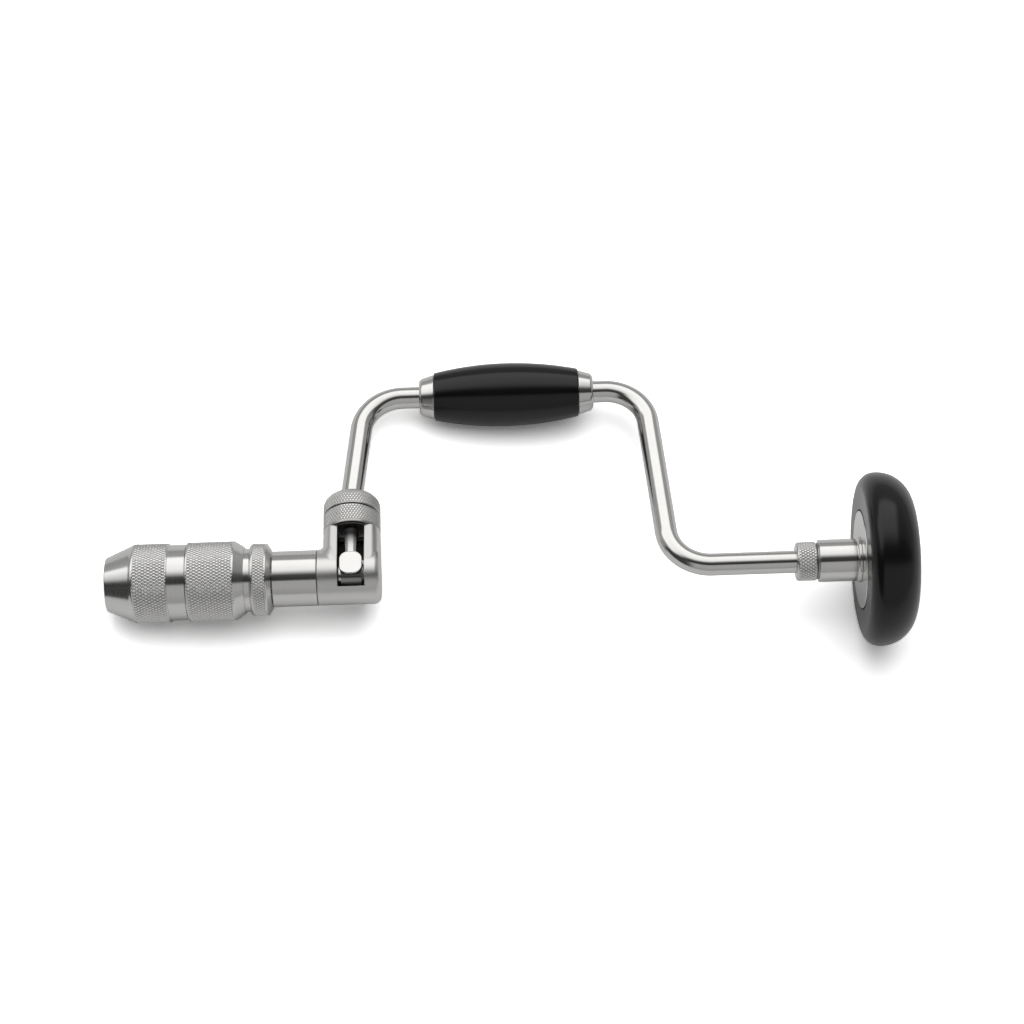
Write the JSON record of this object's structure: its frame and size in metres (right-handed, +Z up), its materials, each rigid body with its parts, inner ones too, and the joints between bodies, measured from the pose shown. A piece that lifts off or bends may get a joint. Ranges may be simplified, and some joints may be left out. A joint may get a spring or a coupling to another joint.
{
  "type": "ratchet brace",
  "caption": "Hand-cranked ratchet brace with a knurled keyless jaw chuck, a reversing ratchet set by a cam ring, a bent rod with a turning grip, and a turning mushroom head.",
  "frame": {"origin": "centre of the bit socket's mouth, at the front of the chuck's nose", "axes": "+Z up from the table that the brace lies on, +X from the chuck towards the head, +Y towards the side that the crank throws to; the main axis rises from the chuck to the head because the head is wider than the chuck"},
  "size_m": [0.3704, 0.154, 0.0795],
  "materials": {
    "bright_steel": "nickel-plated, satin polish",
    "knurled_steel": "nickel-plated, knurled and satin turned",
    "dark_steel": "oiled black steel",
    "bronze": "plain turned bronze",
    "black_lacquer": "smooth semi-gloss black"
  },
  "bodies": {
    "frame": {"barrel": "bright_steel", "barrel_bush": "bronze", "rear_race": "bright_steel", "elbow": "bright_steel", "tail_bush": "bronze", "leg_collar": "knurled_steel", "groove_washer": "dark_steel", "crank_rod": "bright_steel", "rod_pin": "dark_steel", "ferrule_near": "bright_steel", "ferrule_far": "bright_steel", "head_nut": "knurled_steel", "head_thrust_washer": "dark_steel", "head_end_washer": "bright_steel", "head_end_nut": "bright_steel"},
    "spindle": {"spindle": "bright_steel", "chuck_body": "bright_steel", "rear_sleeve": "knurled_steel", "hold_ring": "knurled_steel", "chuck_screw": "dark_steel", "ratchet_wheel": "dark_steel", "wheel_key": "dark_steel", "wheel_washer": "bright_steel", "wheel_clip": "dark_steel", "front_race": "bright_steel", "thrust_balls": "bright_steel"},
    "chuck_sleeve": {"front_sleeve": "knurled_steel", "jaw_nut": "dark_steel", "nut_balls": "bright_steel"},
    "jaw_1": {"jaw_1": "bright_steel"},
    "jaw_2": {"jaw_2": "bright_steel"},
    "jaw_3": {"jaw_3": "bright_steel"},
    "selector": {"cam_ring": "knurled_steel", "shift_stem": "bright_steel", "cross_pin": "dark_steel"},
    "pawl": {"shuttle_pawl": "bright_steel", "pawl_springs": "dark_steel"},
    "grip": {"grip": "black_lacquer", "grip_bush_near": "bronze", "grip_bush_far": "bronze"},
    "head": {"head_sleeve": "bright_steel", "head_plate": "bright_steel", "head_bush": "bronze", "head_pad": "black_lacquer", "pad_studs": "dark_steel"}
  },
  "joints": [
    {"name": "chuck_spin", "type": "hinge", "parent": "frame", "child": "spindle", "pos_m": [0, 0, 0], "axis": [0.9979, 0, 0.0641], "continuous": true},
    {"name": "sleeve_turn", "type": "hinge", "parent": "spindle", "child": "chuck_sleeve", "pos_m": [0, 0, 0], "axis": [0.9979, 0, 0.0641], "range_deg": [0, 2520]},
    {"name": "jaw_1_slide", "type": "slide", "parent": "spindle", "child": "jaw_1", "axis": [-0.9529, -0.0331, -0.3013], "range_m": [0, 0.0175]},
    {"name": "jaw_2_slide", "type": "slide", "parent": "spindle", "child": "jaw_2", "axis": [-0.9741, 0.2241, 0.0288], "range_m": [0, 0.0175]},
    {"name": "jaw_3_slide", "type": "slide", "parent": "spindle", "child": "jaw_3", "axis": [-0.9778, -0.191, 0.086], "range_m": [0, 0.0175]},
    {"name": "selector_turn", "type": "hinge", "parent": "frame", "child": "selector", "pos_m": [0.11147, 0, 0.00716], "axis": [0.0088, 0.9906, -0.1367], "range_deg": [-40, 40]},
    {"name": "pawl_shift", "type": "slide", "parent": "frame", "child": "pawl", "axis": [-0.0635, 0.137, 0.9885], "range_m": [-0.0014, 0.0014]},
    {"name": "grip_spin", "type": "hinge", "parent": "frame", "child": "grip", "pos_m": [0.18576, 0.09906, -0.0018], "axis": [0.9979, 0, 0.0641], "continuous": true},
    {"name": "head_spin", "type": "hinge", "parent": "frame", "child": "head", "pos_m": [0.34342, 0, 0.02205], "axis": [0.9979, 0, 0.0641], "continuous": true}
  ],
  "couplings": [
    {"joint": "jaw_1_slide", "follows": "sleeve_turn", "m_per_rad": 0.00039788},
    {"joint": "jaw_2_slide", "follows": "sleeve_turn", "m_per_rad": 0.00039788},
    {"joint": "jaw_3_slide", "follows": "sleeve_turn", "m_per_rad": 0.00039788},
    {"joint": "pawl_shift", "follows": "selector_turn", "m_per_rad": -0.0020053}
  ]
}
